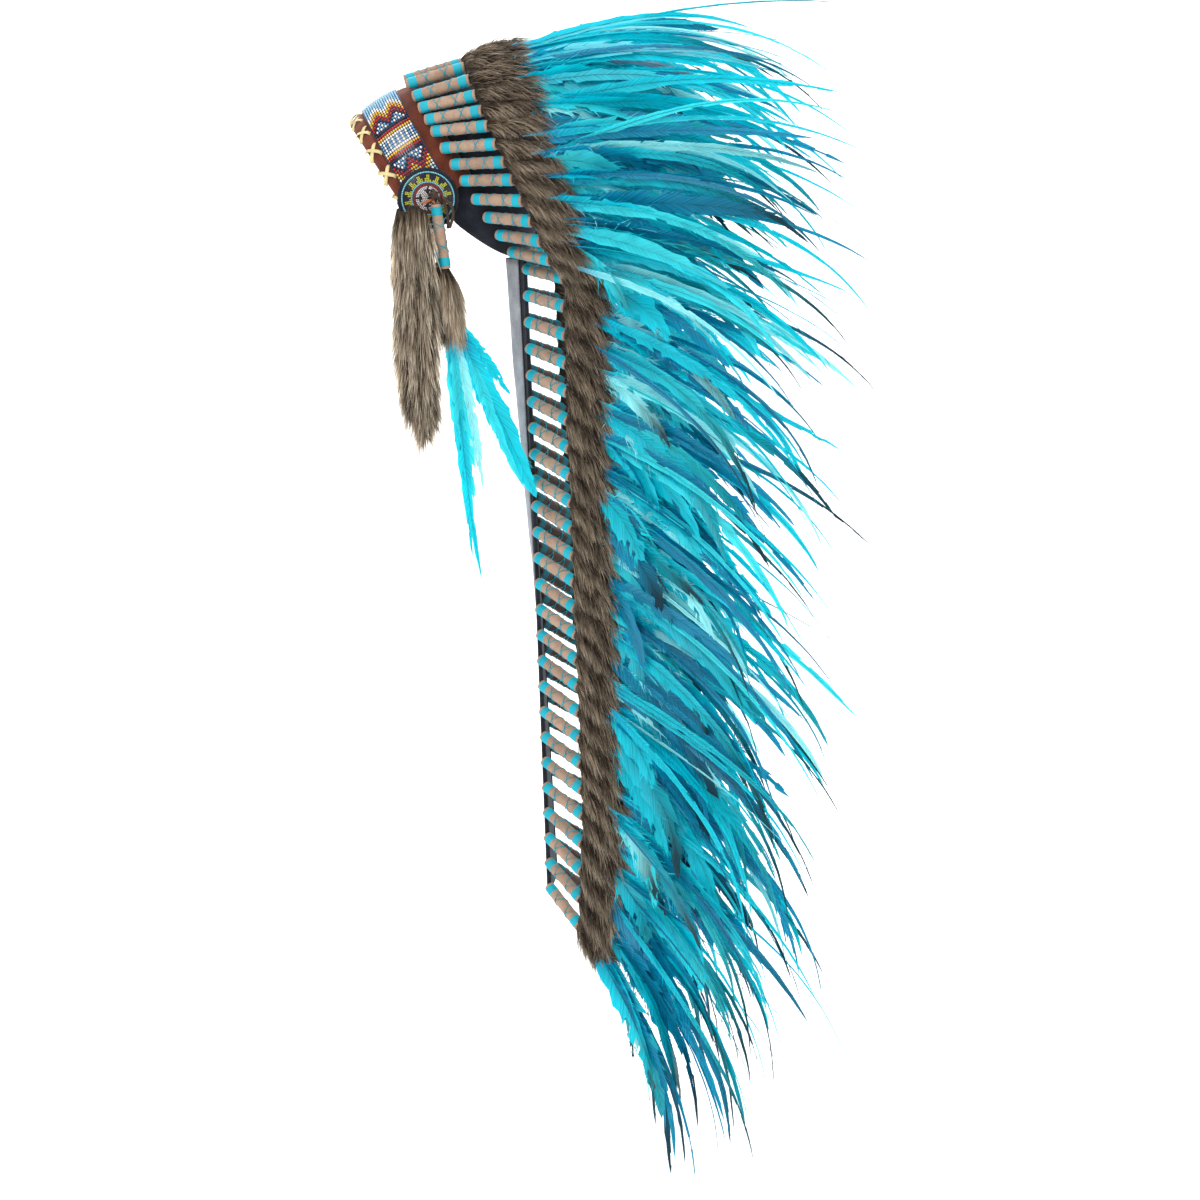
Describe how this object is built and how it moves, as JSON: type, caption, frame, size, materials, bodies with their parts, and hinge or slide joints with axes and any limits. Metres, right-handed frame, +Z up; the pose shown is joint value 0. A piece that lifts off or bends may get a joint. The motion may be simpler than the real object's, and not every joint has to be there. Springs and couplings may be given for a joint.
{
  "type": "feathered headdress",
  "caption": "Feathered headdress with a beaded brow band, felt skull cap, wrapped quills with fur cuffs and drooping plumes round the crown, and a long double-edged trailer.",
  "frame": {"origin": "the middle of the head opening, level with the middle of the bead strip", "axes": "the headdress as it hangs by its trailer: +Z up, the wearer faces -Y and the wearer's left is +X"},
  "size_m": [0.6492, 0.4714, 1.1254],
  "materials": {
    "suede": "brown suede, matt",
    "beads": "opaque seed beads",
    "black_felt": "black felt",
    "grey_felt": "grey felt lining",
    "rosette_beads": "opaque seed beads",
    "lace": "dark leather lace",
    "wrap_leather": "tan leather bound with turquoise thread",
    "fur": "grey-brown fur",
    "feather": "dyed turquoise feathers"
  },
  "bodies": {
    "root": {"brow_band": "suede", "bead_strip": "beads", "skull_cap": "black_felt", "trailer_strip": "black_felt", "rosette_backing_left": "black_felt", "rosette_backing_right": "black_felt", "trailer_lining": "grey_felt", "rosette_face_left": "rosette_beads", "rosette_face_right": "rosette_beads", "thong_left": "lace", "thong_right": "lace", "thong_end_left_1": "lace", "thong_end_left_2": "lace", "thong_end_right_1": "lace", "thong_end_right_2": "lace", "crown_wrap_centre": "wrap_leather", "crown_wrap_left_01": "wrap_leather", "crown_wrap_left_02": "wrap_leather", "crown_wrap_left_03": "wrap_leather", "crown_wrap_left_04": "wrap_leather", "crown_wrap_left_05": "wrap_leather", "crown_wrap_left_06": "wrap_leather", "crown_wrap_left_07": "wrap_leather", "crown_wrap_left_08": "wrap_leather", "crown_wrap_left_09": "wrap_leather", "crown_wrap_left_10": "wrap_leather", "crown_wrap_left_11": "wrap_leather", "crown_wrap_left_12": "wrap_leather", "crown_wrap_right_01": "wrap_leather", "crown_wrap_right_02": "wrap_leather", "crown_wrap_right_03": "wrap_leather", "crown_wrap_right_04": "wrap_leather", "crown_wrap_right_05": "wrap_leather", "crown_wrap_right_06": "wrap_leather", "crown_wrap_right_07": "wrap_leather", "crown_wrap_right_08": "wrap_leather", "crown_wrap_right_09": "wrap_leather", "crown_wrap_right_10": "wrap_leather", "crown_wrap_right_11": "wrap_leather", "crown_wrap_right_12": "wrap_leather", "trailer_wraps_left": "wrap_leather", "trailer_wraps_right": "wrap_leather", "drop_wrap_left": "wrap_leather", "drop_wrap_right": "wrap_leather", "crown_fur": "fur", "trailer_fur_left": "fur", "trailer_fur_right": "fur", "fur_tail_left": "fur", "fur_tail_right": "fur", "drop_fur_left": "fur", "drop_fur_right": "fur", "crown_plumes": "feather", "trailer_plumes_left": "feather", "trailer_plumes_right": "feather", "drop_plume_left": "feather", "drop_plume_right": "feather"}
  },
  "joints": []
}
